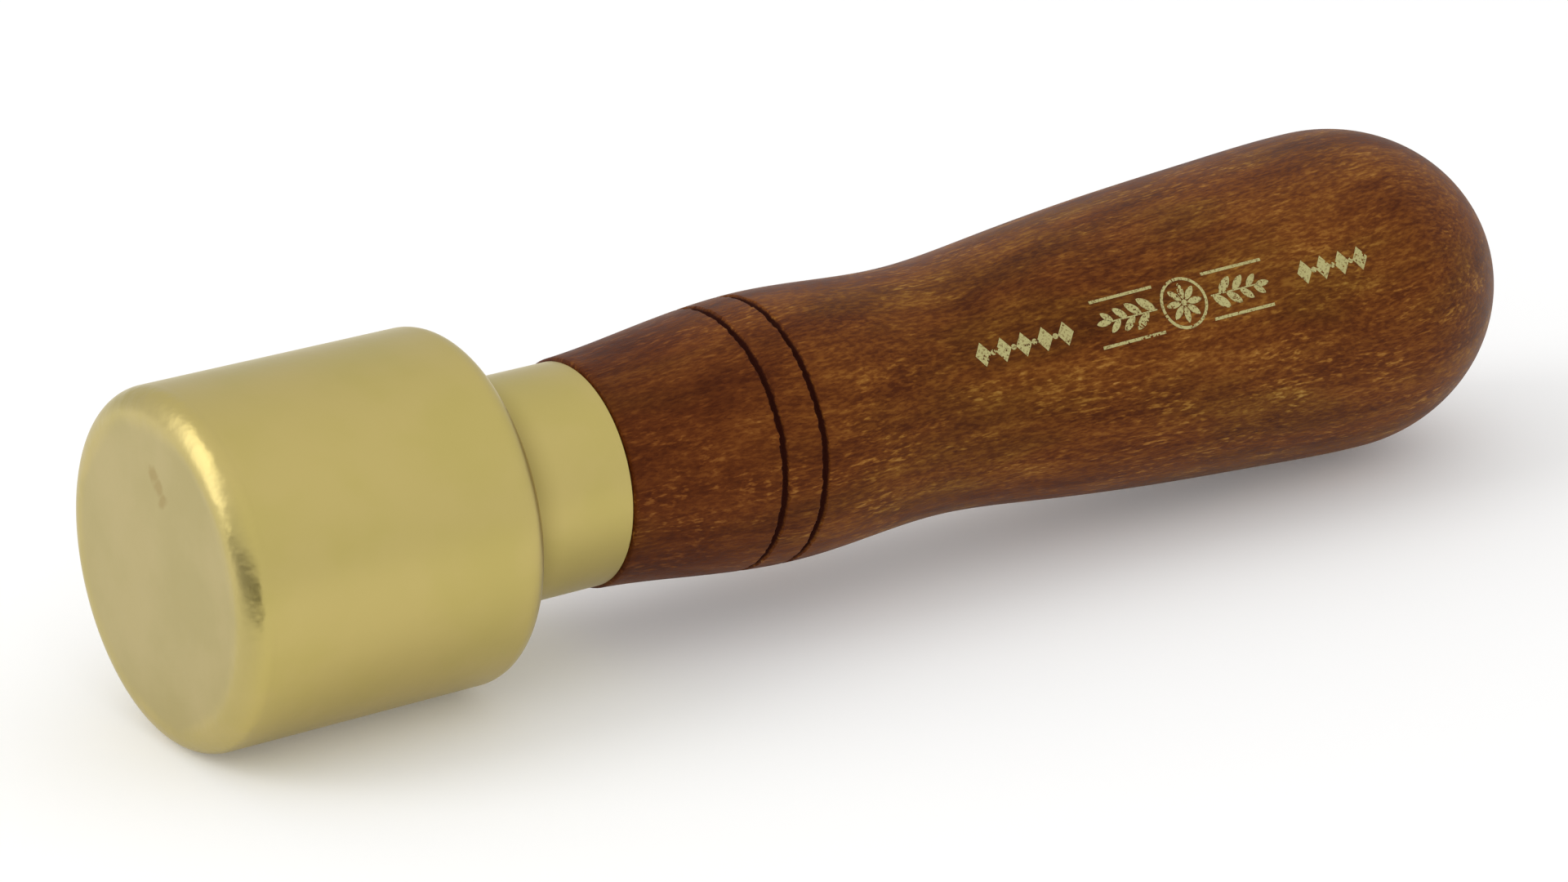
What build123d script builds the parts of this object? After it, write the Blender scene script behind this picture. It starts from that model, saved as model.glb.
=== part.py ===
"""A carver's mallet: a brass head turned in one piece with its neck, and a stained hardwood handle.

The mallet lies on its side, as it is put down on the bench.  X runs along its axis from the
striking face to the butt, +Z is up, and the origin is on the bench under the middle of its length.
Every piece is round, so each one is a profile of stations along the axis, turned about that axis.
Millimetres.
"""

import os

from build123d import *

os.makedirs("parts", exist_ok=True)

# Whole tool
overall_length = 181.0

# Brass head and neck
head_radius = 20.0
head_length = 37.1
face_corner_radius = 3.1
rear_corner_radius = 2.8
neck_radius = 12.7
neck_end = 52.2
neck_chamfer = 0.25
cove_radius = 4.4

# Joint between head and handle: a blind socket, a glued tenon, and a stud along the axis
socket_radius = 8.0
socket_depth = 23.0
joint_chamfer = 0.5
tenon_gap = 1.0
stud_radius = 4.0
stud_in_brass = 14.0
stud_in_wood = 36.0
stud_end_gap = 1.5
stud_chamfer = 0.8
stud_point_length = 4.0
relief_length = 2.4
relief_depth = 0.6
relief_taper = 1.2

# Handle: stations and radii of its flowing line, from the shoulder at the neck to the palm swell
shoulder_radius = 13.03
shoulder_chamfer = 0.3
throat = (64.2, 14.33)
bead = (78.5, 15.5)
waist = (97.3, 14.55)
grip = ((112.3, 15.85), (129.5, 17.57), (145.6, 18.68))
palm_station, palm_radius = 159.6, 19.33
shoulder_slope = 0.06

# Two V grooves turned and burnt into the bead: station, and the radius of the wood there
grooves = ((70.6, 15.08), (75.8, 15.45))
groove_width = 0.9
groove_depth = 0.55

# Stations that follow from the sizes above
socket_floor = neck_end - socket_depth
tenon_end = socket_floor + tenon_gap
stud_start = socket_floor - stud_in_brass
stud_end = tenon_end + stud_in_wood
tapped_hole_end = stud_start - stud_end_gap
pilot_hole_end = stud_end + stud_end_gap
drill_point = stud_radius / 2

# Stations count along the axis from the striking face, and radii outwards from it
turning_plane = Plane(
    origin=(-overall_length / 2, 0, head_radius), x_dir=(1, 0, 0), z_dir=(0, -1, 0)
)
turning_axis = Axis((0, 0, head_radius), (1, 0, 0))

# Head: a drum with rounded corners, a cove down to the neck, and the socket and tapped hole inside
with BuildPart() as head:
    with BuildSketch(turning_plane) as head_section:
        with BuildLine():
            Polyline(
                (0, 0),
                (0, head_radius),
                (head_length, head_radius),
                (head_length, neck_radius),
                (neck_end - neck_chamfer, neck_radius),
                (neck_end, neck_radius - neck_chamfer),
                (neck_end, socket_radius + joint_chamfer),
                (neck_end - joint_chamfer, socket_radius),
                (socket_floor, socket_radius),
                (socket_floor, stud_radius),
                (tapped_hole_end, stud_radius),
                (tapped_hole_end - drill_point, 0),
                close=True,
            )
        make_face()
        for corner, radius in (
            ((0, head_radius), face_corner_radius),
            ((head_length, head_radius), rear_corner_radius),
            ((head_length, neck_radius), cove_radius),
        ):
            fillet(head_section.vertices().sort_by_distance(corner)[0], radius)
    revolve(axis=turning_axis)
head.part.label = "head"
export_step(head.part, "parts/head.step")

# Handle: tenon and shoulder, then bead, waist and palm swell in one line, and an elliptical butt
with BuildPart() as handle:
    with BuildSketch(turning_plane):
        with BuildLine():
            Polyline(
                (overall_length, 0),
                (pilot_hole_end + drill_point, 0),
                (pilot_hole_end, stud_radius),
                (tenon_end, stud_radius),
                (tenon_end, socket_radius - joint_chamfer),
                (tenon_end + joint_chamfer, socket_radius),
                (neck_end, socket_radius),
                (neck_end, shoulder_radius - shoulder_chamfer),
                (neck_end + shoulder_chamfer, shoulder_radius),
            )
            Spline(
                (neck_end + shoulder_chamfer, shoulder_radius),
                throat,
                bead,
                waist,
                *grip,
                (palm_station, palm_radius),
                tangents=((1, shoulder_slope), (1, 0)),
            )
            EllipticalCenterArc(
                (palm_station, 0),
                overall_length - palm_station,
                palm_radius,
                start_angle=0,
                arc_size=90,
            )
        make_face()
    revolve(axis=turning_axis)
    with BuildSketch(turning_plane):
        for station, wood_radius in grooves:
            with Locations((station, wood_radius - groove_depth)):
                Polygon(
                    (0, 0),
                    (groove_width, 2 * groove_depth),
                    (-groove_width, 2 * groove_depth),
                    align=None,
                )
    revolve(axis=turning_axis, mode=Mode.SUBTRACT)
handle.part.label = "handle"
export_step(handle.part, "parts/handle.step")

# Stud: screwed into the brass at one end and into the wood at the other, with a relief between
with BuildPart() as stud:
    with BuildSketch(turning_plane):
        with BuildLine():
            Polyline(
                (stud_start, 0),
                (stud_start, stud_radius - stud_chamfer),
                (stud_start + stud_chamfer, stud_radius),
                (socket_floor - relief_taper, stud_radius),
                (socket_floor, stud_radius - relief_depth),
                (socket_floor + relief_length, stud_radius - relief_depth),
                (socket_floor + relief_length + relief_taper, stud_radius),
                (stud_end - stud_point_length, stud_radius),
                (stud_end, 0),
                close=True,
            )
        make_face()
    revolve(axis=turning_axis)
stud.part.label = "stud"
export_step(stud.part, "parts/stud.step")
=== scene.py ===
import math

import bpy
import numpy as np
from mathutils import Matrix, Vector


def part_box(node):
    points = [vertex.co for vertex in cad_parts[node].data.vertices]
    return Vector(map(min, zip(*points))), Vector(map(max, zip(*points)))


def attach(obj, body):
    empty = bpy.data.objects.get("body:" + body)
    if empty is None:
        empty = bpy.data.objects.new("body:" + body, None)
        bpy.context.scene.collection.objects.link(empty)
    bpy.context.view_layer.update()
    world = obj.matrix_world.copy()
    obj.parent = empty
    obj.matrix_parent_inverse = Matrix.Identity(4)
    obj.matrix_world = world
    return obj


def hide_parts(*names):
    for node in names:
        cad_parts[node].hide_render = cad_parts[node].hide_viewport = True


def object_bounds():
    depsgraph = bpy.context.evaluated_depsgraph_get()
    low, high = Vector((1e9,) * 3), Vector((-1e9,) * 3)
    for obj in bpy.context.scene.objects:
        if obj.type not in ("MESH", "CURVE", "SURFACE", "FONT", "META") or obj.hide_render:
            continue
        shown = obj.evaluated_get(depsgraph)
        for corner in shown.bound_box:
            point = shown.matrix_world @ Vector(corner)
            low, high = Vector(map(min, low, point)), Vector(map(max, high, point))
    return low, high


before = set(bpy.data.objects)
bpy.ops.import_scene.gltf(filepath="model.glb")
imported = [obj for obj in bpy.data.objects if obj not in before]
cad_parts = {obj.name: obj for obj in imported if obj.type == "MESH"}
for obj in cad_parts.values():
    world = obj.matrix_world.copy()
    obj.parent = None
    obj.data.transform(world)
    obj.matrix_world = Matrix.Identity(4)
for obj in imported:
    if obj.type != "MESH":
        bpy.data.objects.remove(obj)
cad_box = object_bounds()

# ---------------------------------------------------------------------------------------------
# Brass head
# One turning of free-cutting brass: the drum that strikes, a cove, and the neck that takes the
# handle.  It is turned and fine-ground in the lathe, and its neck is bored for the tenon.
# ---------------------------------------------------------------------------------------------
mm = 0.001
head_low, head_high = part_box("head")
axis_height = (head_low.z + head_high.z) / 2
face_place = head_low.x
head_radius = (head_high.z - head_low.z) / 2
neck_end = head_high.x - face_place
drum_length = 37.1 * mm
face_corner = 3.1 * mm
rear_corner = 2.8 * mm
neck_radius = 12.7 * mm
cove = 4.4 * mm
neck_chamfer = 0.25 * mm
socket_radius = 8.0 * mm
socket_floor = neck_end - 23.0 * mm
socket_chamfer = 0.5 * mm
tapped_radius = 4.0 * mm
tapped_end = socket_floor - 15.5 * mm
weld_distance = 1e-7
sharp_angle = 0.5


def straight(start, end, steps):
    """Points of an outline from start to end, without start."""
    return [
        tuple(a + (b - a) * i / steps for a, b in zip(start, end)) for i in range(1, steps + 1)
    ]


def rounded(centre, radius, start, end, steps):
    """Points of a round corner.  Angles are in degrees, 0 towards the butt and 90 outwards."""
    angles = [math.radians(start + (end - start) * i / steps) for i in range(steps + 1)]
    return [(centre[0] + radius * math.cos(a), centre[1] + radius * math.sin(a)) for a in angles]


def put(tree, kind, inputs=(), **options):
    """Adds a node with its options, and fills its inputs with values or other nodes' sockets."""
    made = tree.nodes.new(kind)
    for option, value in options.items():
        setattr(made, option, value)
    for key, value in dict(inputs).items():
        if isinstance(value, bpy.types.NodeSocket):
            tree.links.new(value, made.inputs[key])
        else:
            made.inputs[key].default_value = value
    return made


def calc(tree, operation, *values, clamp=False):
    """The result of one Math node."""
    return put(
        tree, "ShaderNodeMath", enumerate(values), operation=operation, use_clamp=clamp
    ).outputs[0]


def plus(tree, base, value, share):
    """base with a share of value added to it."""
    return calc(tree, "ADD", base, calc(tree, "MULTIPLY", value, share))


def start_tree(name, sockets):
    """A Geometry Nodes tree with its named inputs.  Every tree has Geometry and Material too."""
    tree = bpy.data.node_groups.new(name, "GeometryNodeTree")
    tree.interface.new_socket("Geometry", in_out="OUTPUT", socket_type="NodeSocketGeometry")
    tree.interface.new_socket("Geometry", in_out="INPUT", socket_type="NodeSocketGeometry")
    for label, kind in {**sockets, "Material": "Material"}.items():
        tree.interface.new_socket(label, in_out="INPUT", socket_type="NodeSocket" + kind)
    return tree, put(tree, "NodeGroupInput").outputs


def end_tree(tree, geometry, material):
    """Turns instances into a plain mesh, gives it its material, and sends it out of the tree."""
    real = put(tree, "GeometryNodeRealizeInstances", {"Geometry": geometry})
    dressed = put(
        tree, "GeometryNodeSetMaterial", {"Geometry": real.outputs[0], "Material": material}
    )
    put(tree, "NodeGroupOutput", {"Geometry": dressed.outputs[0]})


def apply_trees(piece, *steps):
    """Runs trees on a piece, each with its values, and leaves the result as a plain mesh."""
    for tree, values in steps:
        modifier = piece.modifiers.new(tree.name, "NODES")
        modifier.node_group = tree
        for item in tree.interface.items_tree:
            if item.in_out == "INPUT" and item.name in values:
                modifier[item.identifier] = values[item.name]
    shaped = piece.evaluated_get(bpy.context.evaluated_depsgraph_get())
    mesh = bpy.data.meshes.new_from_object(shaped)
    piece.modifiers.clear()
    piece.data = mesh
    mesh.name = piece.name
    if mesh.materials[0] is None:
        mesh.materials.pop(index=0)


def outline_piece(name, outline):
    """An object that holds an outline: a chain of points at (station, 0, radius)."""
    chain = bpy.data.meshes.new(name)
    points = [(face_place + station, 0, radius) for station, radius in outline]
    chain.from_pydata(points, [(i, i + 1) for i in range(len(points) - 1)], [])
    piece = bpy.data.objects.new(name, chain)
    bpy.context.scene.collection.objects.link(piece)
    return piece


def turning_tree():
    """The lathe: turns an outline of stations and radii about the tool's axis."""
    tree, given = start_tree("turning", {"Steps Around": "Int", "Axis Height": "Float"})
    count = put(
        tree, "GeometryNodeAttributeDomainSize", {"Geometry": given["Geometry"]}
    ).outputs["Point Count"]
    rows = calc(tree, "ADD", given["Steps Around"], 1)
    blank = put(tree, "GeometryNodeMeshGrid", {"Vertices X": count, "Vertices Y": rows})
    index = put(tree, "GeometryNodeInputIndex").outputs[0]
    station_row = calc(tree, "FLOOR", calc(tree, "DIVIDE", calc(tree, "ADD", index, 0.5), rows))
    turn_row = calc(tree, "SUBTRACT", index, calc(tree, "MULTIPLY", station_row, rows))
    here = put(tree, "GeometryNodeInputPosition").outputs[0]
    picked = put(
        tree,
        "GeometryNodeSampleIndex",
        {"Geometry": given["Geometry"], "Value": here, "Index": station_row},
        data_type="FLOAT_VECTOR",
    )
    outline = put(tree, "ShaderNodeSeparateXYZ", {0: picked.outputs[0]}).outputs
    share = calc(tree, "DIVIDE", turn_row, given["Steps Around"])
    angle = calc(tree, "MULTIPLY", share, math.tau)
    across = calc(tree, "MULTIPLY", outline["Z"], calc(tree, "COSINE", angle))
    upward = calc(tree, "MULTIPLY", outline["Z"], calc(tree, "SINE", angle))
    height = calc(tree, "ADD", upward, given["Axis Height"])
    place = put(tree, "ShaderNodeCombineXYZ", {"X": outline["X"], "Y": across, "Z": height})
    turned = put(
        tree,
        "GeometryNodeSetPosition",
        {"Geometry": blank.outputs["Mesh"], "Position": place.outputs[0]},
    )
    welded = put(
        tree,
        "GeometryNodeMergeByDistance",
        {"Geometry": turned.outputs[0], "Distance": weld_distance},
    )
    edge_angle = put(tree, "GeometryNodeInputMeshEdgeAngle").outputs[0]
    crease = calc(tree, "GREATER_THAN", edge_angle, sharp_angle)
    smooth = put(
        tree,
        "GeometryNodeSetShadeSmooth",
        {"Geometry": welded.outputs[0], "Shade Smooth": True},
        domain="FACE",
    )
    sharp = put(
        tree,
        "GeometryNodeSetShadeSmooth",
        {"Geometry": smooth.outputs[0], "Selection": crease, "Shade Smooth": False},
        domain="EDGE",
    )
    end_tree(tree, sharp.outputs[0], given["Material"])
    return tree


turning = turning_tree()
turned_corner = (face_corner, head_radius - face_corner)
rear_centre = (drum_length - rear_corner, head_radius - rear_corner)
cove_centre = (drum_length + cove, neck_radius + cove)
head_outline = [(0, 0)]
head_outline += straight((0, 0), (0, head_radius - face_corner - 0.2 * mm), 10)
head_outline += rounded(turned_corner, face_corner, 180, 90, 24)
head_outline += straight(head_outline[-1], (rear_centre[0] - 0.2 * mm, head_radius), 12)
head_outline += rounded(rear_centre, rear_corner, 90, 0, 20)
head_outline += rounded(cove_centre, cove, 180, 270, 20)
head_outline += straight(head_outline[-1], (neck_end - neck_chamfer - 0.1 * mm, neck_radius), 6)
head_outline += [
    (neck_end - neck_chamfer, neck_radius),
    (neck_end, neck_radius - neck_chamfer),
    (neck_end, socket_radius + socket_chamfer),
    (neck_end - socket_chamfer, socket_radius),
    (socket_floor, socket_radius),
    (socket_floor, tapped_radius),
    (tapped_end, tapped_radius),
    (tapped_end - tapped_radius / 2, 0),
]


def about_axis(tree, point, axis):
    """Splits a point into x, y, its height over the tool's axis, and its radius."""
    x, y, z = put(tree, "ShaderNodeSeparateXYZ", {0: point}).outputs
    height = calc(tree, "SUBTRACT", z, axis)
    squares = calc(tree, "ADD", calc(tree, "POWER", y, 2), calc(tree, "POWER", height, 2))
    return x, y, height, calc(tree, "SQRT", squares)


def surface_group():
    """Where a point lies on the turned tool: station from the face, radius, and angle round it."""
    group = bpy.data.node_groups.new("turned place", "ShaderNodeTree")
    for label in ("Station", "Radius", "Angle"):
        group.interface.new_socket(label, in_out="OUTPUT", socket_type="NodeSocketFloat")
    place = put(group, "ShaderNodeTexCoord").outputs["Object"]
    x, y, height, radius = about_axis(group, place, axis_height)
    station = calc(group, "SUBTRACT", x, face_place)
    angle = calc(group, "ARCTAN2", height, y)
    put(group, "NodeGroupOutput", {"Station": station, "Radius": radius, "Angle": angle})
    return group


turned_place = surface_group()


def noise(tree, vector, scale, detail, roughness=0.5, seed=None):
    """The Fac and Color of a Noise Texture.  Each seed gives another pattern."""
    inputs = {"Vector": vector, "Scale": scale, "Detail": detail, "Roughness": roughness}
    if seed is None:
        return put(tree, "ShaderNodeTexNoise", inputs).outputs
    return put(tree, "ShaderNodeTexNoise", {**inputs, "W": seed}, noise_dimensions="4D").outputs


def between(tree, value, low, high, to_low=0.0, to_high=1.0):
    """Value mapped smoothly from low..high to to_low..to_high."""
    return put(
        tree,
        "ShaderNodeMapRange",
        {"Value": value, 1: low, 2: high, 3: to_low, 4: to_high},
        interpolation_type="SMOOTHSTEP",
    ).outputs[0]


def vector_calc(tree, operation, *values):
    """The result of one Vector Math node."""
    made = put(tree, "ShaderNodeVectorMath", enumerate(values), operation=operation)
    return made.outputs["Value" if operation == "DISTANCE" else "Vector"]


def wear_group():
    """Hairline scratches and soft rubbed patches from use, as masks from 0 to 1."""
    group = bpy.data.node_groups.new("use marks", "ShaderNodeTree")
    group.interface.new_socket("Size", in_out="INPUT", socket_type="NodeSocketFloat")
    for label in ("Hairlines", "Rubbed"):
        group.interface.new_socket(label, in_out="OUTPUT", socket_type="NodeSocketFloat")
    given = put(group, "NodeGroupInput").outputs
    place = put(group, "ShaderNodeTexCoord").outputs["Object"]
    sized = put(
        group, "ShaderNodeVectorMath", {0: place, "Scale": given["Size"]}, operation="SCALE"
    ).outputs[0]
    hairlines = None
    for turn, seed in ((0.5, 3.1), (1.9, 7.7), (-0.7, 12.3)):
        lay = put(
            group,
            "ShaderNodeMapping",
            {
                "Vector": sized,
                "Location": (seed, seed * 2, seed * 3),
                "Rotation": (turn, turn * 0.7, turn * 1.3),
                "Scale": (0.12, 2.6, 2.6),
            },
        ).outputs[0]
        thin = between(group, noise(group, lay, 1.0, 1.0, 0.4)["Fac"], 0.70, 0.76)
        hairlines = thin if hairlines is None else calc(group, "MAXIMUM", hairlines, thin)
    rubbed = between(group, noise(group, sized, 0.12, 4.0, 0.6)["Fac"], 0.38, 0.68)
    put(group, "NodeGroupOutput", {"Hairlines": hairlines, "Rubbed": rubbed})
    return group


use_marks = wear_group()


def new_material(name):
    """A new material, its node tree, and its Principled shader."""
    material = bpy.data.materials.new(name)
    material.use_nodes = True
    tree = material.node_tree
    return material, tree, tree.nodes["Principled BSDF"]


def blend(tree, amount, first, second, mode="MIX"):
    """The colour between first and second, by amount."""
    inputs = {0: amount, 6: first, 7: second}
    return put(tree, "ShaderNodeMix", inputs, data_type="RGBA", blend_type=mode).outputs[2]


def brass_material():
    """Satin brass: fine turning lines around the axis, a ground face, and a burnished corner."""
    material, tree, shader = new_material("satin brass")
    place = put(tree, "ShaderNodeGroup", node_tree=turned_place).outputs
    marks = put(tree, "ShaderNodeGroup", {"Size": 400.0}, node_tree=use_marks).outputs
    point = put(tree, "ShaderNodeTexCoord").outputs["Object"]

    along_outline = calc(tree, "ADD", place["Station"], place["Radius"])
    rings = put(
        tree,
        "ShaderNodeTexNoise",
        {"W": along_outline, "Scale": 5200.0, "Detail": 3.0, "Roughness": 0.7},
        noise_dimensions="1D",
    ).outputs["Fac"]
    cloud = noise(tree, point, 90.0, 5.0)["Fac"]
    clouded = between(tree, cloud, 0.35, 0.65)

    face_edge = head_radius - face_corner
    uneven = calc(tree, "MULTIPLY", calc(tree, "SUBTRACT", cloud, 0.5), 4.0 * mm)
    soft_edge = calc(tree, "ADD", place["Radius"], uneven)
    flat = between(tree, soft_edge, face_edge + 0.5 * mm, face_edge - 1.3 * mm)
    at_front = between(tree, place["Station"], 2.2 * mm, 0.2 * mm)
    on_face = calc(tree, "MULTIPLY", at_front, plus(tree, 0.45, flat, 0.55))
    on_drum = between(tree, place["Station"], 2.0 * mm, 3.4 * mm)
    on_corner = calc(tree, "SUBTRACT", 1.0, calc(tree, "ADD", on_face, on_drum, clamp=True))

    metal = blend(tree, clouded, (0.510, 0.4165, 0.135, 1), (0.534, 0.429, 0.152, 1))
    ground = blend(tree, clouded, (0.446, 0.372, 0.163, 1), (0.482, 0.399, 0.186, 1))
    colour = blend(tree, on_face, metal, ground)
    # Painted shade: the colour is darkened and yellowed in the cove between the drum and the neck,
    # where shade falls in the recess
    cove_painted_shade = calc(
        tree,
        "MULTIPLY",
        between(tree, place["Station"], drum_length - 0.6 * mm, drum_length + 0.8 * mm),
        between(tree, place["Station"], drum_length + 6.4 * mm, drum_length + 2.0 * mm),
    )
    colour = blend(tree, cove_painted_shade, colour, (0.70, 0.68, 0.60, 1), "MULTIPLY")

    # The smudge: three spots that run together, with a ragged edge
    stain_shape = noise(tree, point, 420.0, 3.0)["Color"]
    drift = vector_calc(tree, "SUBTRACT", stain_shape, (0.5, 0.5, 0.5))
    drift = vector_calc(tree, "MULTIPLY", drift, (0, 2.2 * mm, 2.2 * mm))
    near = vector_calc(tree, "ADD", point, drift)
    stain = None
    for up, aside, size in ((11.6, -0.2, 1.2), (10.6, -1.3, 1.3), (9.2, -2.2, 1.2)):
        spot = (face_place, aside * mm, axis_height + up * mm)
        gap = vector_calc(tree, "DISTANCE", near, spot)
        mark = between(tree, gap, size * mm, 0.35 * size * mm)
        stain = mark if stain is None else calc(tree, "MAXIMUM", stain, mark)
    stain = calc(tree, "MULTIPLY", calc(tree, "MULTIPLY", stain, on_face), 0.68)
    colour = blend(tree, stain, colour, (0.37, 0.275, 0.100, 1))
    tree.links.new(colour, shader.inputs["Base Color"])

    rough = plus(tree, 0.30, rings, 0.06)
    rough = plus(tree, rough, marks["Rubbed"], 0.05)
    rough = plus(tree, rough, on_face, 0.12)
    rough = plus(tree, rough, on_corner, -0.03)
    tree.links.new(rough, shader.inputs["Roughness"])

    relief = plus(tree, calc(tree, "MULTIPLY", rings, 0.6), marks["Hairlines"], -0.5)
    bump = put(tree, "ShaderNodeBump", {"Height": relief, "Strength": 0.12, "Distance": 0.02 * mm})
    dabs = noise(tree, point, 470.0, 2.0)["Fac"]
    lumps = put(
        tree,
        "ShaderNodeBump",
        {
            "Height": calc(tree, "MULTIPLY", dabs, calc(tree, "ADD", on_corner, 0.15)),
            "Strength": 1.0,
            "Distance": 0.14 * mm,
            "Normal": bump.outputs[0],
        },
    )
    tree.links.new(lumps.outputs[0], shader.inputs["Normal"])
    shader.inputs["Metallic"].default_value = 1.0
    return material


head = outline_piece("brass_head", head_outline)
apply_trees(
    head,
    (turning, {"Steps Around": 288, "Axis Height": axis_height, "Material": brass_material()}),
)
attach(head, "root")
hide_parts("head")

# ---------------------------------------------------------------------------------------------
# Stud
# A steel hanger stud hidden in the joint: a machine thread cut for the tapped hole of the head,
# a relief, then a coarse wood thread and a point for the pilot hole of the handle.
# ---------------------------------------------------------------------------------------------
stud_low, stud_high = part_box("stud")
stud_start = stud_low.x - face_place
stud_end = stud_high.x - face_place
stud_radius = (stud_high.z - stud_low.z) / 2
stud_middle = stud_start + 14.0 * mm
stud_chamfer = 0.8 * mm
stud_point = 4.0 * mm
relief_radius = stud_radius - 0.6 * mm
relief_half = 1.2 * mm
machine_pitch = 1.25 * mm
machine_depth = 0.68 * mm
wood_pitch = 3.0 * mm
wood_depth = 0.9 * mm
stud_core = 2.0 * mm


def drawn_in(tree, geometry, point, axis, share):
    """The geometry with the distance of each point from the axis multiplied by share."""
    x, y, height = point
    upward = plus(tree, axis, height, share)
    place = put(
        tree, "ShaderNodeCombineXYZ", {"X": x, "Y": calc(tree, "MULTIPLY", y, share), "Z": upward}
    ).outputs[0]
    moved = put(tree, "GeometryNodeSetPosition", {"Geometry": geometry, "Position": place})
    return moved.outputs[0]


def thread_tree():
    """Cuts a screw thread into a turned piece between two stations."""
    tree, given = start_tree(
        "thread",
        {
            "Axis Height": "Float",
            "Start": "Float",
            "End": "Float",
            "Pitch": "Float",
            "Depth": "Float",
            "Runout": "Float",
        },
    )
    here = put(tree, "GeometryNodeInputPosition").outputs[0]
    x, y, height, radius = about_axis(tree, here, given["Axis Height"])
    turn = calc(tree, "DIVIDE", calc(tree, "ARCTAN2", height, y), math.tau)
    wound = calc(tree, "SUBTRACT", calc(tree, "DIVIDE", x, given["Pitch"]), turn)
    saw = calc(tree, "PINGPONG", wound, 0.5)
    root = calc(tree, "SUBTRACT", 1.0, calc(tree, "MULTIPLY", saw, 2.0))
    root = calc(tree, "POWER", root, 0.8)
    run_in = calc(
        tree, "DIVIDE", calc(tree, "SUBTRACT", x, given["Start"]), given["Runout"], clamp=True
    )
    run_out = calc(
        tree, "DIVIDE", calc(tree, "SUBTRACT", given["End"], x), given["Runout"], clamp=True
    )
    cut = calc(tree, "MULTIPLY", root, calc(tree, "MULTIPLY", run_in, run_out))
    depth = calc(tree, "MULTIPLY", cut, given["Depth"])
    lost = calc(tree, "DIVIDE", depth, calc(tree, "MAXIMUM", radius, stud_core))
    share = calc(tree, "SUBTRACT", 1.0, lost)
    threaded = drawn_in(tree, given["Geometry"], (x, y, height), given["Axis Height"], share)
    end_tree(tree, threaded, given["Material"])
    return tree


def steel_material():
    """Bright zinc-plated steel, a little cloudy, with marks from the threading die."""
    material, tree, shader = new_material("zinc-plated steel")
    point = put(tree, "ShaderNodeTexCoord").outputs["Object"]
    marks = put(tree, "ShaderNodeGroup", {"Size": 600.0}, node_tree=use_marks).outputs
    cloud = noise(tree, point, 700.0, 4.0)["Fac"]
    clouded = between(tree, cloud, 0.35, 0.65)
    colour = blend(tree, clouded, (0.50, 0.51, 0.52, 1), (0.60, 0.61, 0.61, 1))
    tree.links.new(colour, shader.inputs["Base Color"])
    tree.links.new(plus(tree, 0.28, clouded, 0.12), shader.inputs["Roughness"])
    relief = calc(tree, "SUBTRACT", cloud, marks["Hairlines"])
    bump = put(tree, "ShaderNodeBump", {"Height": relief, "Strength": 0.2, "Distance": 0.02 * mm})
    tree.links.new(bump.outputs[0], shader.inputs["Normal"])
    shader.inputs["Metallic"].default_value = 1.0
    return material


plated_steel = steel_material()
stud_outline = [(stud_start, 0)]
stud_outline += straight(stud_outline[-1], (stud_start, stud_radius - stud_chamfer), 3)
stud_outline += straight(stud_outline[-1], (stud_start + stud_chamfer, stud_radius), 4)
stud_outline += straight(stud_outline[-1], (stud_middle - relief_half, stud_radius), 82)
stud_outline += straight(stud_outline[-1], (stud_middle - relief_half / 2, relief_radius), 3)
stud_outline += straight(stud_outline[-1], (stud_middle + relief_half / 2, relief_radius), 4)
stud_outline += straight(stud_outline[-1], (stud_middle + relief_half, stud_radius), 3)
stud_outline += straight(stud_outline[-1], (stud_end - stud_point, stud_radius), 120)
stud_outline += straight(stud_outline[-1], (stud_end, 0), 14)
stud = outline_piece("steel_stud", stud_outline)
thread = thread_tree()
thread_ends = {"Axis Height": axis_height, "Material": plated_steel}
apply_trees(
    stud,
    (turning, {"Steps Around": 72, "Axis Height": axis_height, "Material": plated_steel}),
    (
        thread,
        {
            **thread_ends,
            "Start": stud_low.x,
            "End": face_place + stud_middle - relief_half,
            "Pitch": machine_pitch,
            "Depth": machine_depth,
            "Runout": machine_pitch,
        },
    ),
    (
        thread,
        {
            **thread_ends,
            "Start": face_place + stud_middle + relief_half,
            "End": stud_high.x,
            "Pitch": wood_pitch,
            "Depth": wood_depth,
            "Runout": wood_pitch,
        },
    ),
)
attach(stud, "root")
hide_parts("stud")

# ---------------------------------------------------------------------------------------------
# Handle
# One piece of hornbeam, turned, stained red-brown and rubbed with oil.  Two V grooves are cut
# and burnt with a wire while it spins, and its tenon is glued into the neck of the head.
# ---------------------------------------------------------------------------------------------
handle_low, handle_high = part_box("handle")
tool_length = handle_high.x - face_place
palm_radius = (handle_high.z - handle_low.z) / 2
palm_station = 159.6 * mm
line_stations = [52.5, 64.2, 78.5, 97.3, 112.3, 129.5, 145.6]
line_radii = [13.03, 14.33, 15.5, 14.55, 15.85, 17.57, 18.68]
shoulder_slope = 0.06
tenon_end = socket_floor + 1.0 * mm
pilot_end = tenon_end + 37.5 * mm
groove_stations = (70.6 * mm, 75.8 * mm)
groove_width = 1.0 * mm
groove_depth = 0.6 * mm
groove_wander = 0.35 * mm
groove_raggedness = 2.2
skin_radius = 12.0 * mm


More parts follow.
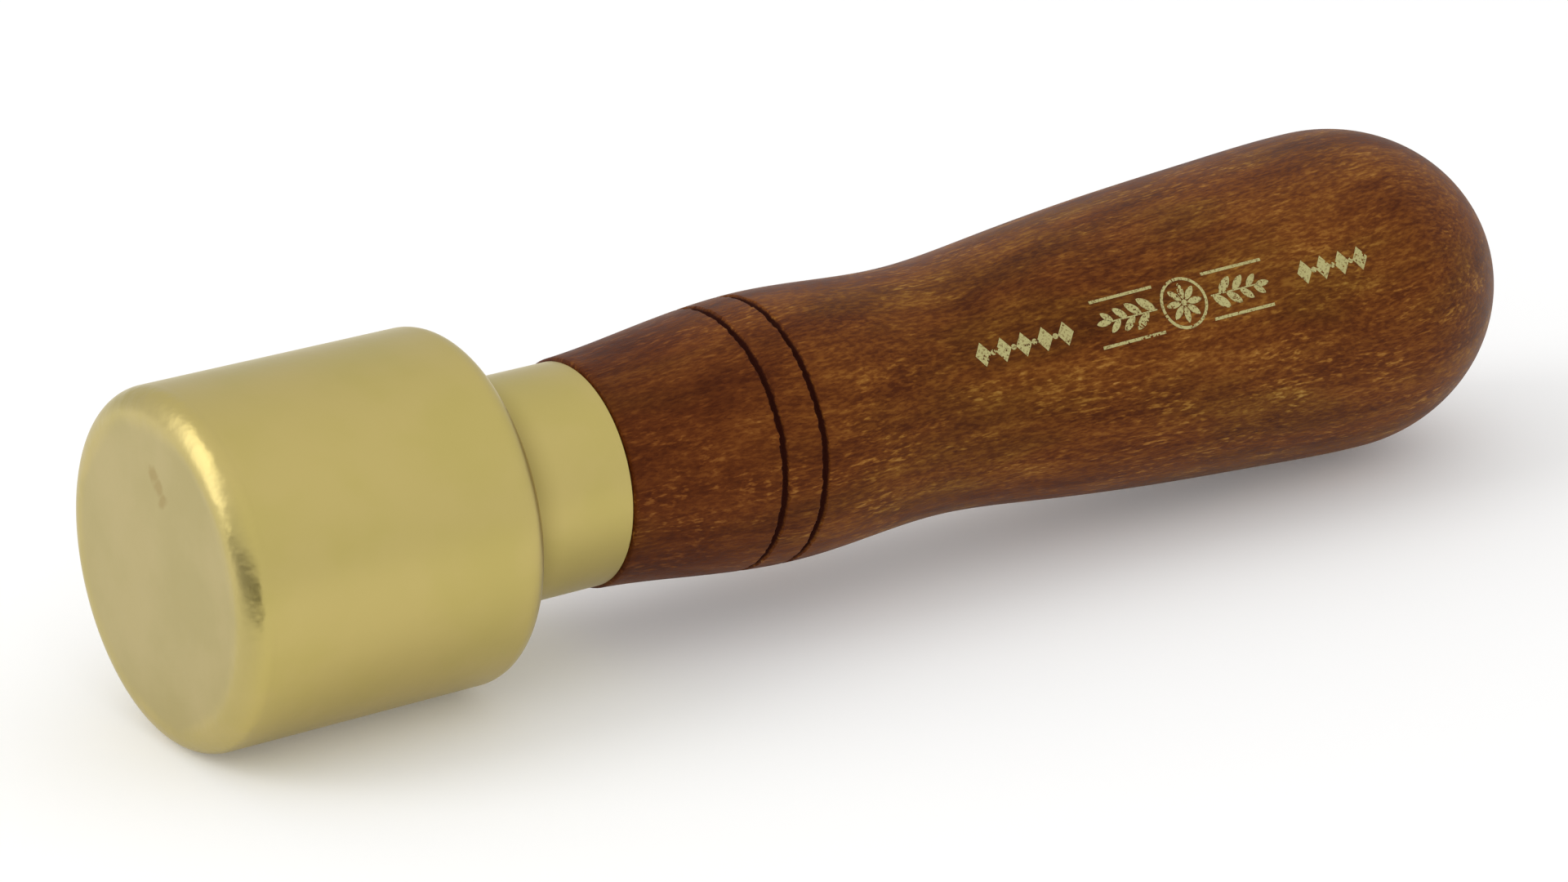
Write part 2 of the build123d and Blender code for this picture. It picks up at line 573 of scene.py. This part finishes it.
def flowing_line(stations, radii, first_slope, last_slope, samples):
    """Radii at the samples, on the smooth line through the given stations and radii."""
    s, r = np.array(stations), np.array(radii)
    gap, slope = np.diff(s), np.diff(r) / np.diff(s)
    n = len(s)
    system, side = np.eye(n), np.zeros(n)
    side[0], side[-1] = first_slope, last_slope
    for i in range(1, n - 1):
        system[i, i - 1 : i + 2] = 1 / gap[i - 1], 2 / gap[i - 1] + 2 / gap[i], 1 / gap[i]
        side[i] = 3 * (slope[i - 1] / gap[i - 1] + slope[i] / gap[i])
    tangent = np.linalg.solve(system, side)
    i = np.clip(np.searchsorted(s, samples) - 1, 0, n - 2)
    t = (samples - s[i]) / gap[i]
    rise = r[i + 1] - r[i]
    bow = (1 - t) * (gap[i] * tangent[i] - rise) + t * (rise - gap[i] * tangent[i + 1])
    return (1 - t) * r[i] + t * r[i + 1] + t * (1 - t) * bow


coarse = np.linspace(52.5 * mm, palm_station, 108)
fine = [np.linspace(-1.0 * mm, 1.0 * mm, 27) + station for station in groove_stations]
samples = np.unique(np.round(np.concatenate([coarse, *fine]), 6))
stations = [s * mm for s in line_stations] + [palm_station]
radii = [r * mm for r in line_radii] + [palm_radius]
grip_line = flowing_line(stations, radii, shoulder_slope, 0.0, samples)
handle_outline = [(pilot_end + tapped_radius / 2, 0)]
handle_outline += [
    (pilot_end, tapped_radius),
    (tenon_end, tapped_radius),
    (tenon_end, socket_radius - socket_chamfer),
    (tenon_end + socket_chamfer, socket_radius),
    (neck_end, socket_radius),
    (neck_end, 12.6 * mm),
    (neck_end + 0.08 * mm, 12.85 * mm),
    (neck_end + 0.2 * mm, 12.98 * mm),
]
handle_outline += list(zip(samples.tolist(), grip_line.tolist()))
butt_length = tool_length - palm_station
for step in range(1, 49):
    angle = math.radians(90 * (1 - step / 48))
    handle_outline.append(
        (palm_station + butt_length * math.cos(angle), palm_radius * math.sin(angle))
    )


def groove_tree():
    """Cuts the two grooves: V shaped, a little wavy, and ragged where the wood chipped."""
    tree, given = start_tree(
        "grooves",
        {
            "Axis Height": "Float",
            "First Groove": "Float",
            "Second Groove": "Float",
            "Width": "Float",
            "Depth": "Float",
            "Seed": "Float",
        },
    )
    here = put(tree, "GeometryNodeInputPosition").outputs[0]
    x, y, height, radius = about_axis(tree, here, given["Axis Height"])
    cut = None
    for label, shift in (("First Groove", 0.0), ("Second Groove", 5.3)):
        seed = calc(tree, "ADD", given["Seed"], shift)
        drift = noise(tree, here, 160.0, 2.0, seed=seed)["Fac"]
        chips = noise(tree, here, 1100.0, 3.0, 0.7, seed)["Fac"]
        centre = plus(tree, given[label], calc(tree, "SUBTRACT", drift, 0.5), groove_wander)
        off = calc(tree, "ABSOLUTE", calc(tree, "SUBTRACT", x, centre))
        ragged = plus(tree, 1.0, calc(tree, "SUBTRACT", chips, 0.5), groove_raggedness)
        half = calc(tree, "MULTIPLY", calc(tree, "MULTIPLY", given["Width"], 0.5), ragged)
        share = calc(tree, "SUBTRACT", 1.0, calc(tree, "DIVIDE", off, half), clamp=True)
        cut = share if cut is None else calc(tree, "MAXIMUM", cut, share)
    outside = calc(tree, "GREATER_THAN", radius, skin_radius)
    cut = calc(tree, "MULTIPLY", cut, outside)
    rounded_cut = calc(tree, "POWER", cut, 0.7)
    depth = calc(tree, "MULTIPLY", rounded_cut, given["Depth"])
    new_radius = calc(tree, "SUBTRACT", radius, depth)
    share = calc(tree, "DIVIDE", new_radius, calc(tree, "MAXIMUM", radius, 1e-6))
    burnt = put(
        tree,
        "GeometryNodeStoreNamedAttribute",
        {"Geometry": given["Geometry"], "Name": "burn", "Value": cut},
        data_type="FLOAT",
        domain="POINT",
    ).outputs[0]
    grooved = drawn_in(tree, burnt, (x, y, height), given["Axis Height"], share)
    end_tree(tree, grooved, given["Material"])
    return tree


def grain_group():
    """The figure of the stained wood, from large blotches down to the short flecks of its rays."""
    group = bpy.data.node_groups.new("hornbeam figure", "ShaderNodeTree")
    for label in ("Size", "Ring Width", "Bark Side"):
        group.interface.new_socket(label, in_out="INPUT", socket_type="NodeSocketFloat")
    for label, kind in (("Colour", "Color"), ("Flecks", "Float"), ("Pores", "Float")):
        group.interface.new_socket(label, in_out="OUTPUT", socket_type="NodeSocket" + kind)
    given = put(group, "NodeGroupInput").outputs
    place = put(group, "ShaderNodeTexCoord").outputs["Object"]
    in_mm = put(
        group, "ShaderNodeVectorMath", {0: place, "Scale": given["Size"]}, operation="SCALE"
    ).outputs[0]
    unevenness = 0.55

    def sway(vector, span, amount):
        """Bends the fibres sideways: span and amount in millimetres."""
        inputs = {"Vector": vector, "Scale": (1 / span, 1 / span, 1 / span)}
        lay = put(group, "ShaderNodeMapping", inputs).outputs[0]
        wave = noise(group, lay, 1.0, 1.0, unevenness)["Color"]
        centred = vector_calc(group, "SUBTRACT", wave, (0.5, 0.5, 0.5))
        aside = vector_calc(group, "MULTIPLY", centred, (0, amount, amount))
        return vector_calc(group, "ADD", vector, aside)

    grain = sway(sway(in_mm, 30.0, 4.0), 6.0, 0.28)

    def fibres(length, thickness, seed, detail=2.0):
        """A pattern drawn out along the fibres: length and thickness in millimetres."""
        lay = put(
            group,
            "ShaderNodeMapping",
            {
                "Vector": grain,
                "Location": (seed, -seed, seed / 2),
                "Scale": (1 / length, 1 / thickness, 1 / thickness),
            },
        ).outputs[0]
        return noise(group, lay, 1.0, detail, unevenness)["Fac"]

    turned = put(group, "ShaderNodeGroup", node_tree=turned_place).outputs
    bark_side = calc(group, "SUBTRACT", turned["Angle"], given["Bark Side"])
    outward = calc(
        group,
        "MULTIPLY",
        calc(group, "MULTIPLY", turned["Radius"], given["Size"]),
        calc(group, "COSINE", bark_side),
    )
    outward = plus(group, outward, fibres(22.0, 7.0, 83.0), 2.6)
    ring = calc(group, "FRACT", calc(group, "DIVIDE", outward, given["Ring Width"]))
    late_wood = calc(
        group, "MULTIPLY", between(group, ring, 0.0, 0.80), between(group, ring, 1.0, 0.93)
    )
    quarter = calc(group, "ABSOLUTE", calc(group, "SINE", bark_side))

    blotches = between(group, fibres(17.0, 6.0, 4.0, 3.0), 0.32, 0.68)
    bands = between(group, fibres(9.0, 1.1, 11.0, 2.0), 0.32, 0.68)
    flecks = between(group, fibres(1.15, 0.34, 31.0), 0.32, 0.68)
    dashes = between(group, fibres(1.8, 0.42, 43.0), 0.51, 0.66)
    clusters = between(group, fibres(9.0, 3.5, 23.0, 3.0), 0.36, 0.62)
    pores = between(group, fibres(0.8, 0.16, 59.0, 1.0), 0.60, 0.75)
    collar = between(group, turned["Station"], 84.0 * mm, 60.0 * mm)
    fleck_share = between(group, collar, 0.0, 1.0, 0.29, 0.20)
    tone = calc(group, "MULTIPLY", blotches, 0.18)
    tone = plus(group, tone, bands, 0.16)
    tone = plus(group, tone, flecks, fleck_share)
    tone = plus(group, tone, late_wood, 0.11)
    dash_share = calc(group, "MULTIPLY", clusters, between(group, quarter, 0.0, 1.0, 0.20, 0.38))
    tone = plus(group, tone, dashes, dash_share)
    tone = plus(group, tone, pores, -0.12)
    tone = plus(group, tone, collar, -0.02)
    ramp = put(group, "ShaderNodeValToRGB", {0: tone})
    stops = (
        (0.08, (0.064, 0.0120, 0.0018, 1)),
        (0.34, (0.118, 0.0300, 0.0042, 1)),
        (0.52, (0.172, 0.0520, 0.0072, 1)),
        (0.78, (0.285, 0.1150, 0.0190, 1)),
        (1.00, (0.400, 0.2000, 0.0500, 1)),
    )
    elements = ramp.color_ramp.elements
    for _ in range(len(stops) - 2):
        elements.new(0.5)
    for element, (position, colour) in zip(elements, stops):
        element.position = position
        element.color = colour
    olive = between(group, fibres(30.0, 9.0, 71.0, 2.0), 0.42, 0.64)
    olive = calc(group, "MULTIPLY", olive, 0.6)
    colour = blend(group, olive, ramp.outputs[0], (0.80, 0.98, 0.80, 1), "MULTIPLY")
    collar = calc(group, "MULTIPLY", collar, 0.9)
    colour = blend(group, collar, colour, (0.80, 0.68, 0.80, 1), "MULTIPLY")
    put(group, "NodeGroupOutput", {"Colour": colour, "Flecks": flecks, "Pores": pores})
    return group


hornbeam_figure = grain_group()


def wood_material():
    """Stained and oiled hornbeam: a satin skin over the figure, with burnt grooves."""
    material, tree, shader = new_material("stained hornbeam")
    figure = put(
        tree,
        "ShaderNodeGroup",
        {"Size": 1 / mm, "Ring Width": 5.2, "Bark Side": math.radians(130)},
        node_tree=hornbeam_figure,
    ).outputs
    marks = put(tree, "ShaderNodeGroup", {"Size": 250.0}, node_tree=use_marks).outputs
    burn = put(tree, "ShaderNodeAttribute", attribute_name="burn").outputs["Fac"]
    charred = between(tree, burn, 0.02, 0.42)
    colour = blend(tree, charred, figure["Colour"], (0.024, 0.0034, 0.0020, 1))
    tree.links.new(colour, shader.inputs["Base Color"])
    rough = plus(tree, 0.44, figure["Flecks"], 0.10)
    rough = plus(tree, rough, marks["Rubbed"], -0.06)
    rough = plus(tree, rough, charred, 0.35)
    tree.links.new(rough, shader.inputs["Roughness"])
    relief = plus(tree, calc(tree, "MULTIPLY", figure["Flecks"], 0.5), figure["Pores"], -0.6)
    bump = put(tree, "ShaderNodeBump", {"Height": relief, "Strength": 0.4, "Distance": 0.04 * mm})
    tree.links.new(bump.outputs[0], shader.inputs["Normal"])
    shader.inputs["Specular IOR Level"].default_value = 0.10
    shader.inputs["Specular Tint"].default_value = (1.0, 0.80, 0.52, 1)
    return material


stained_wood = wood_material()
handle = outline_piece("wooden_handle", handle_outline)
apply_trees(
    handle,
    (turning, {"Steps Around": 440, "Axis Height": axis_height, "Material": stained_wood}),
    (
        groove_tree(),
        {
            "Axis Height": axis_height,
            "First Groove": face_place + groove_stations[0],
            "Second Groove": face_place + groove_stations[1],
            "Width": groove_width,
            "Depth": groove_depth,
            "Seed": 2.0,
            "Material": stained_wood,
        },
    ),
)
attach(handle, "root")
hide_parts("handle")

# ---------------------------------------------------------------------------------------------
# Foil ornament
# Pale gold foil pressed into the grip with a hot die: a rosette in a ring between two leafy
# sprays, thin rules, and a row of lozenges at each end.  Handling has flaked it here and there.
# ---------------------------------------------------------------------------------------------
ornament_middle = 126.5 * mm
ornament_angle = math.radians(32.5)
petal_circle = 0.42 * mm
dot_radius = 0.34 * mm
first_leaf = 3.9 * mm
leaf_spacing = 0.96 * mm
tip_place = 9.9 * mm
stem_length, stem_width, stem_middle = 6.4 * mm, 0.16 * mm, 6.9 * mm
rule_length, rule_middle, rule_offset = 8.4 * mm, 7.6 * mm, 2.75 * mm
lozenge_half_length = 1.05 * mm
lozenge_half_width = 1.45 * mm


def flat_part(tree, across, along, shape):
    """A small grid of foil.  shape gives the place of a point from its two shares, 0 to 1."""
    grid = put(
        tree,
        "GeometryNodeMeshGrid",
        {"Size X": 1.0, "Size Y": 1.0, "Vertices X": across + 1, "Vertices Y": along + 1},
    ).outputs["Mesh"]
    here = put(tree, "GeometryNodeInputPosition").outputs[0]
    x, y = put(tree, "ShaderNodeSeparateXYZ", {0: here}).outputs[:2]
    u, v = shape(calc(tree, "ADD", x, 0.5), calc(tree, "ADD", y, 0.5))
    place = put(tree, "ShaderNodeCombineXYZ", {"X": u, "Y": v}).outputs[0]
    moved = put(tree, "GeometryNodeSetPosition", {"Geometry": grid, "Position": place})
    return put(
        tree, "GeometryNodeMergeByDistance", {"Geometry": moved.outputs[0], "Distance": 2e-6}
    ).outputs[0]


def ornament_tree():
    """The flat ornament, as a thin closed sheet with flakes missing."""
    tree, given = start_tree(
        "ornament",
        {
            "Leaves": "Int",
            "Leaf Length": "Float",
            "Leaf Width": "Float",
            "Petals": "Int",
            "Ring Radius": "Float",
            "Line Width": "Float",
            "Thickness": "Float",
            "Wear": "Float",
            "Seed": "Float",
        },
    )

    def leaf(share_along, share_across):
        """Pointed at both ends."""
        swell = calc(tree, "MULTIPLY", calc(tree, "SUBTRACT", 1.0, share_along), share_along)
        swell = calc(tree, "POWER", calc(tree, "MULTIPLY", swell, 4.0), 0.75)
        side = calc(tree, "MULTIPLY", calc(tree, "SUBTRACT", share_across, 0.5), swell)
        u = calc(tree, "MULTIPLY", share_along, given["Leaf Length"])
        return u, calc(tree, "MULTIPLY", side, given["Leaf Width"])

    def lozenge(share_along, share_across):
        """A square grid stood on its corner."""
        a = calc(tree, "SUBTRACT", share_along, 0.5)
        b = calc(tree, "SUBTRACT", share_across, 0.5)
        u = calc(tree, "MULTIPLY", calc(tree, "SUBTRACT", a, b), lozenge_half_length)
        return u, calc(tree, "MULTIPLY", calc(tree, "ADD", a, b), lozenge_half_width)

    def round_part(inner, outer):
        """The shape of a ring between two radii."""

        def shape(share_around, share_out):
            angle = calc(tree, "MULTIPLY", share_around, -math.tau)
            radius = plus(tree, inner, share_out, calc(tree, "SUBTRACT", outer, inner))
            u = calc(tree, "MULTIPLY", radius, calc(tree, "COSINE", angle))
            return u, calc(tree, "MULTIPLY", radius, calc(tree, "SINE", angle))

        return shape

    def strip(length, width):
        """The shape of a straight rule."""

        def shape(share_along, share_across):
            u = calc(tree, "MULTIPLY", calc(tree, "SUBTRACT", share_along, 0.5), length)
            v = calc(tree, "SUBTRACT", share_across, 0.5)
            return u, calc(tree, "MULTIPLY", v, width)

        return shape

    def moved(geometry, u=0.0, v=0.0, turn=0.0, size=1.0):
        """The geometry turned, scaled and shifted in its own plane."""
        return put(
            tree,
            "GeometryNodeTransform",
            {
                "Geometry": geometry,
                "Translation": (u, v, 0),
                "Rotation": (0, 0, turn),
                "Scale": (size, size, size),
            },
        ).outputs[0]

    def placed(geometry, points, turn=0.0, size=None):
        """A copy of the geometry on each point."""
        rotation = put(tree, "ShaderNodeCombineXYZ", {"Z": turn})
        as_rotation = put(tree, "FunctionNodeEulerToRotation", {0: rotation.outputs[0]})
        made = put(
            tree,
            "GeometryNodeInstanceOnPoints",
            {"Points": points, "Instance": geometry, "Rotation": as_rotation.outputs[0]},
        )
        if size is not None:
            scale = put(tree, "ShaderNodeCombineXYZ", {"X": size, "Y": size, "Z": size})
            tree.links.new(scale.outputs[0], made.inputs["Scale"])
        return made.outputs[0]

    def row(count, start, step):
        """Points in a line along the tool."""
        return put(
            tree,
            "GeometryNodeMeshLine",
            {"Count": count, "Start Location": (start, 0, 0), "Offset": (step, 0, 0)},
            mode="OFFSET",
        ).outputs[0]

    index = put(tree, "GeometryNodeInputIndex").outputs[0]
    leaf_sheet = flat_part(tree, 15, 9, leaf)

    petal_points = put(
        tree, "GeometryNodeMeshCircle", {"Vertices": given["Petals"], "Radius": petal_circle}
    ).outputs[0]
    petal_turn = calc(tree, "MULTIPLY", index, calc(tree, "DIVIDE", math.tau, given["Petals"]))
    petals = placed(leaf_sheet, petal_points, petal_turn, 0.72)

    inner_ring = calc(tree, "SUBTRACT", given["Ring Radius"], given["Line Width"])
    ring = flat_part(tree, 120, 2, round_part(inner_ring, given["Ring Radius"]))
    dot = flat_part(tree, 20, 2, round_part(0.0, dot_radius))

    # One wing: leaves on alternate sides of a stem, one more at its tip, and a rule on each side
    odd = calc(tree, "MODULO", index, 2.0)
    side = calc(tree, "SUBTRACT", calc(tree, "MULTIPLY", odd, 2.0), 1.0)
    taper = calc(tree, "SUBTRACT", 1.0, calc(tree, "DIVIDE", index, 18.0))
    leaf_points = row(given["Leaves"], first_leaf, leaf_spacing)
    spray = placed(leaf_sheet, leaf_points, calc(tree, "MULTIPLY", side, 0.72), taper)
    tip = moved(leaf_sheet, tip_place, size=0.7)
    stem = moved(flat_part(tree, 70, 1, strip(stem_length, stem_width)), stem_middle)
    long_rule = flat_part(tree, 110, 2, strip(rule_length, given["Line Width"]))
    rules = [moved(long_rule, rule_middle, v) for v in (-rule_offset, rule_offset)]
    wing = put(tree, "GeometryNodeJoinGeometry")
    for part in (spray, tip, stem, *rules):
        tree.links.new(part, wing.inputs[0])
    wing = wing.outputs[0]

    parts = [petals, ring, moved(dot, size=1.1), wing, moved(wing, turn=math.pi)]
    diamond = flat_part(tree, 9, 9, lozenge)
    for count, first_lozenge, first_dot, step in (
        (5, -27.0 * mm, -25.62 * mm, 2.75 * mm),
        (4, 17.0 * mm, 18.32 * mm, 2.65 * mm),
    ):
        parts.append(placed(diamond, row(count, first_lozenge, step)))
        parts.append(placed(dot, row(count - 1, first_dot, step)))
    whole = put(tree, "GeometryNodeJoinGeometry")
    for part in parts:
        tree.links.new(part, whole.inputs[0])
    sheet = put(tree, "GeometryNodeRealizeInstances", {"Geometry": whole.outputs[0]}).outputs[0]

    here = put(tree, "GeometryNodeInputPosition").outputs[0]
    flaking = noise(tree, here, 2600.0, 3.0, 0.65, given["Seed"])["Fac"]
    patches = noise(tree, here, 260.0, 2.0, seed=given["Seed"])["Fac"]
    loss = plus(tree, flaking, calc(tree, "SUBTRACT", patches, 0.5), 0.5)
    gone = calc(tree, "GREATER_THAN", loss, calc(tree, "SUBTRACT", 1.0, given["Wear"]))
    kept = put(
        tree, "GeometryNodeDeleteGeometry", {"Geometry": sheet, "Selection": gone}, domain="FACE"
    ).outputs[0]
    raised = put(
        tree,
        "GeometryNodeExtrudeMesh",
        {
            "Mesh": kept,
            "Offset": (0, 0, 1),
            "Offset Scale": given["Thickness"],
            "Individual": False,
        },
        mode="FACES",
    ).outputs[0]
    back = put(tree, "GeometryNodeFlipFaces", {"Mesh": kept}).outputs[0]
    closed = put(tree, "GeometryNodeJoinGeometry")
    tree.links.new(raised, closed.inputs[0])
    tree.links.new(back, closed.inputs[0])
    welded = put(
        tree, "GeometryNodeMergeByDistance", {"Geometry": closed.outputs[0], "Distance": 1e-6}
    )
    end_tree(tree, welded.outputs[0], given["Material"])
    return tree


def wrapping_tree():
    """Lays a flat piece around the handle, with its underside pressed into the wood."""
    tree, given = start_tree(
        "pressed on",
        {
            "Handle": "Object",
            "Axis Height": "Float",
            "Middle": "Float",
            "Angle": "Float",
            "Sink": "Float",
        },
    )
    here = put(tree, "GeometryNodeInputPosition").outputs[0]
    u, v, w = put(tree, "ShaderNodeSeparateXYZ", {0: here}).outputs
    x = calc(tree, "ADD", u, given["Middle"])
    on_axis = put(tree, "ShaderNodeCombineXYZ", {"X": x, "Z": given["Axis Height"]}).outputs[0]
    ray = put(
        tree,
        "ShaderNodeCombineXYZ",
        {
            "Y": calc(tree, "MULTIPLY", calc(tree, "COSINE", given["Angle"]), -1.0),
            "Z": calc(tree, "SINE", given["Angle"]),
        },
    ).outputs[0]
    handle_mesh = put(
        tree, "GeometryNodeObjectInfo", {"Object": given["Handle"]}, transform_space="ORIGINAL"
    ).outputs["Geometry"]
    # The ray starts inside the wood and measures the way out to its skin
    inside = 10.0 * mm
    start = vector_calc(
        tree, "ADD", on_axis, vector_calc(tree, "MULTIPLY", ray, (inside, inside, inside))
    )
    hit = put(
        tree,
        "GeometryNodeRaycast",
        {
            "Target Geometry": handle_mesh,
            "Source Position": start,
            "Ray Direction": ray,
            "Ray Length": 50.0 * mm,
        },
    ).outputs["Hit Distance"]
    radius = calc(tree, "ADD", hit, inside)
    angle = calc(tree, "ADD", given["Angle"], calc(tree, "DIVIDE", v, radius))
    lifted = calc(tree, "ADD", radius, calc(tree, "SUBTRACT", w, given["Sink"]))
    towards_front = calc(tree, "MULTIPLY", lifted, calc(tree, "COSINE", angle))
    place = put(
        tree,
        "ShaderNodeCombineXYZ",
        {
            "X": x,
            "Y": calc(tree, "MULTIPLY", towards_front, -1.0),
            "Z": plus(tree, given["Axis Height"], lifted, calc(tree, "SINE", angle)),
        },
    ).outputs[0]
    laid = put(
        tree, "GeometryNodeSetPosition", {"Geometry": given["Geometry"], "Position": place}
    )
    end_tree(tree, laid.outputs[0], given["Material"])
    return tree


def foil_material():
    """Pale gold stamping foil, dulled and rubbed thin until the stain shows in specks."""
    material, tree, shader = new_material("gold foil")
    point = put(tree, "ShaderNodeTexCoord").outputs["Object"]
    marks = put(tree, "ShaderNodeGroup", {"Size": 900.0}, node_tree=use_marks).outputs
    specks = noise(tree, point, 4200.0, 2.0, 0.6)["Fac"]
    thin = between(tree, specks, 0.50, 0.66)
    colour = blend(tree, thin, (0.47, 0.43, 0.185, 1), (0.23, 0.165, 0.060, 1))
    rubbed = calc(tree, "MULTIPLY", marks["Rubbed"], 0.3)
    colour = blend(tree, rubbed, colour, (0.36, 0.30, 0.12, 1))
    tree.links.new(colour, shader.inputs["Base Color"])
    tree.links.new(plus(tree, 0.42, thin, 0.2), shader.inputs["Roughness"])
    bump = put(tree, "ShaderNodeBump", {"Height": specks, "Strength": 0.3, "Distance": 0.02 * mm})
    tree.links.new(bump.outputs[0], shader.inputs["Normal"])
    shader.inputs["Metallic"].default_value = 0.75
    return material


gold_foil = foil_material()
ornament = outline_piece("foil_ornament", [])
apply_trees(
    ornament,
    (
        ornament_tree(),
        {
            "Leaves": 7,
            "Leaf Length": 2.75 * mm,
            "Leaf Width": 1.1 * mm,
            "Petals": 8,
            "Ring Radius": 3.1 * mm,
            "Line Width": 0.36 * mm,
            "Thickness": 0.035 * mm,
            "Wear": 0.385,
            "Seed": 4.0,
            "Material": gold_foil,
        },
    ),
    (
        wrapping_tree(),
        {
            "Handle": handle,
            "Axis Height": axis_height,
            "Middle": face_place + ornament_middle,
            "Angle": ornament_angle,
            "Sink": 0.010 * mm,
            "Material": gold_foil,
        },
    ),
)
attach(ornament, "root")

# ---------------------------------------------------------------------------------------------
# Floor, light and camera
# A pale floor in a white room that is a little brighter overhead, and one softbox to the left of
# the camera.  The camera stands beside the striking face, in front of it, and looks down.
# ---------------------------------------------------------------------------------------------
floor_mesh = bpy.data.meshes.new("floor")
floor_half = 6.0
floor_mesh.from_pydata(
    [(x * floor_half, y * floor_half, 0) for x, y in ((-1, -1), (1, -1), (1, 1), (-1, 1))],
    [],
    [(0, 1, 2, 3)],
)
floor = bpy.data.objects.new("floor", floor_mesh)
bpy.context.scene.collection.objects.link(floor)
pale, _, pale_shader = new_material("pale floor")
pale_shader.inputs["Base Color"].default_value = (0.88, 0.88, 0.875, 1)
pale_shader.inputs["Emission Color"].default_value = (1, 1, 1, 1)
pale_shader.inputs["Emission Strength"].default_value = 0.12
pale_shader.inputs["Roughness"].default_value = 0.9
floor_mesh.materials.append(pale)

world = bpy.data.worlds.new("studio")
bpy.context.scene.world = world
world.use_nodes = True
room = world.node_tree
sky = put(room, "ShaderNodeTexCoord").outputs["Generated"]
toward = put(room, "ShaderNodeSeparateXYZ", {0: sky}).outputs
brightness = plus(room, 0.80, toward["Y"], -0.10)
brightness = plus(room, brightness, toward["Z"], 0.17)
room.nodes["Background"].inputs["Color"].default_value = (1, 1, 1, 1)
room.links.new(brightness, room.nodes["Background"].inputs["Strength"])

tool_centre = (cad_box[0] + cad_box[1]) / 2


def soft_light(name, direction, distance, size, brightness):
    """A softbox that faces the tool.  Brightness is against the white of the room."""
    lamp = bpy.data.lights.new(name, "AREA")
    lamp.shape = "RECTANGLE"
    lamp.size, lamp.size_y = size
    lamp.energy = brightness * math.pi * size[0] * size[1]
    light = bpy.data.objects.new(name, lamp)
    away = Vector(direction).normalized()
    light.location = tool_centre + away * distance
    light.rotation_euler = away.to_track_quat("Z", "Y").to_euler()
    light.visible_camera = False
    bpy.context.scene.collection.objects.link(light)


soft_light("left_softbox", (-0.840, 0.273, 0.469), 1.1, (0.52, 1.08), 2.3)

# A low black card curves around the front of the head and gives its polished corner a dark spot.
card_distance = 122 * mm
card_height = 41 * mm
card_start, card_sweep, card_steps = 168, 84, 16
card_angles = [
    math.radians(card_start + card_sweep * step / card_steps) for step in range(card_steps + 1)
]
card_foot = [
    (face_place + card_distance * math.cos(a), card_distance * math.sin(a)) for a in card_angles
]
flag_mesh = bpy.data.meshes.new("black_card")
flag_mesh.from_pydata(
    [(x, y, z) for z in (0, card_height) for x, y in card_foot],
    [],
    [(i, i + 1, i + card_steps + 2, i + card_steps + 1) for i in range(card_steps)],
)
flag = bpy.data.objects.new("black_card", flag_mesh)
bpy.context.scene.collection.objects.link(flag)
black, _, black_shader = new_material("black card")
black_shader.inputs["Base Color"].default_value = (0.050, 0.047, 0.042, 1)
black_shader.inputs["Roughness"].default_value = 0.9
flag_mesh.materials.append(black)
flag.visible_camera = False
flag.visible_diffuse = False
flag.visible_shadow = False

camera_data = bpy.data.cameras.new("camera")
camera = bpy.data.objects.new("camera", camera_data)
bpy.context.scene.collection.objects.link(camera)
camera_data.lens = 131.25
camera_data.sensor_width = 36.0
camera_azimuth = math.radians(-34.73)
camera_elevation = math.radians(20.86)
camera.location = (face_place - 263.95 * mm, -497.2 * mm, axis_height + 228.2 * mm)
camera.rotation_euler = (math.pi / 2 - camera_elevation, 0, camera_azimuth)
bpy.context.scene.camera = camera
bpy.context.scene.view_settings.view_transform = "Standard"

bpy.context.view_layer.update()
